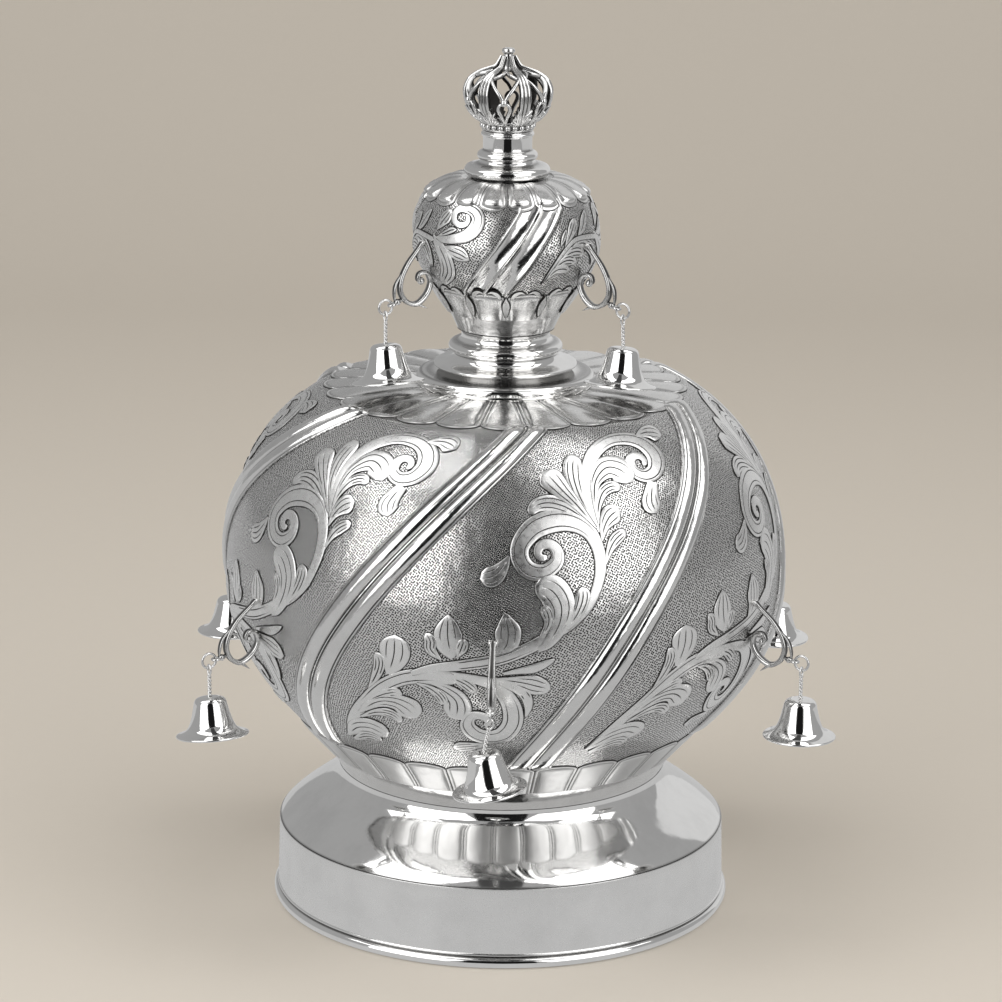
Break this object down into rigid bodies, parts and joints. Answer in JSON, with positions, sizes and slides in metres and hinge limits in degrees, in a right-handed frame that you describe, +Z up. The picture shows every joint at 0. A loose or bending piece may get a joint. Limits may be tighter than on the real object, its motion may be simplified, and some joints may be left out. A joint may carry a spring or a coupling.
{
  "type": "torah crown",
  "caption": "Hollow two-bulb silver crown for a Torah scroll, with twisted ribs, chased scrolls, petals, a small openwork crown and hanging bells.",
  "frame": {"origin": "middle of the plane that the foot stands on, on the crown's axis", "axes": "+Z up along the crown's axis, -Y is the front, where one lower bell hangs"},
  "size_m": [0.2795, 0.3163, 0.3729],
  "materials": {
    "polished_silver": "mirror-polished sterling silver",
    "chased_silver": "chased sterling silver with a stippled, darkened ground and polished relief",
    "bell_silver": "mirror-polished silver",
    "cast_silver": "cast silver, darkened in the hollows",
    "silver_wire": "drawn silver wire"
  },
  "bodies": {
    "root": {"collar": "polished_silver", "foot": "polished_silver", "large_bulb": "chased_silver", "lower_bell_1": "bell_silver", "lower_bell_2": "bell_silver", "lower_bell_3": "bell_silver", "lower_bell_4": "bell_silver", "lower_bell_5": "bell_silver", "lower_bell_6": "bell_silver", "lower_bracket_1": "cast_silver", "lower_bracket_2": "cast_silver", "lower_bracket_3": "cast_silver", "lower_bracket_4": "cast_silver", "lower_bracket_5": "cast_silver", "lower_bracket_6": "cast_silver", "lower_link_1": "silver_wire", "lower_link_2": "silver_wire", "lower_link_3": "silver_wire", "lower_link_4": "silver_wire", "lower_link_5": "silver_wire", "lower_link_6": "silver_wire", "lower_ring_1": "silver_wire", "lower_ring_2": "silver_wire", "lower_ring_3": "silver_wire", "lower_ring_4": "silver_wire", "lower_ring_5": "silver_wire", "lower_ring_6": "silver_wire", "neck": "polished_silver", "small_bulb": "chased_silver", "top_crown": "cast_silver", "upper_bell_1": "bell_silver", "upper_bell_2": "bell_silver", "upper_bell_3": "bell_silver", "upper_bracket_1": "cast_silver", "upper_bracket_2": "cast_silver", "upper_bracket_3": "cast_silver", "upper_link_1": "silver_wire", "upper_link_2": "silver_wire", "upper_link_3": "silver_wire", "upper_ring_1": "silver_wire", "upper_ring_2": "silver_wire", "upper_ring_3": "silver_wire"}
  },
  "joints": []
}
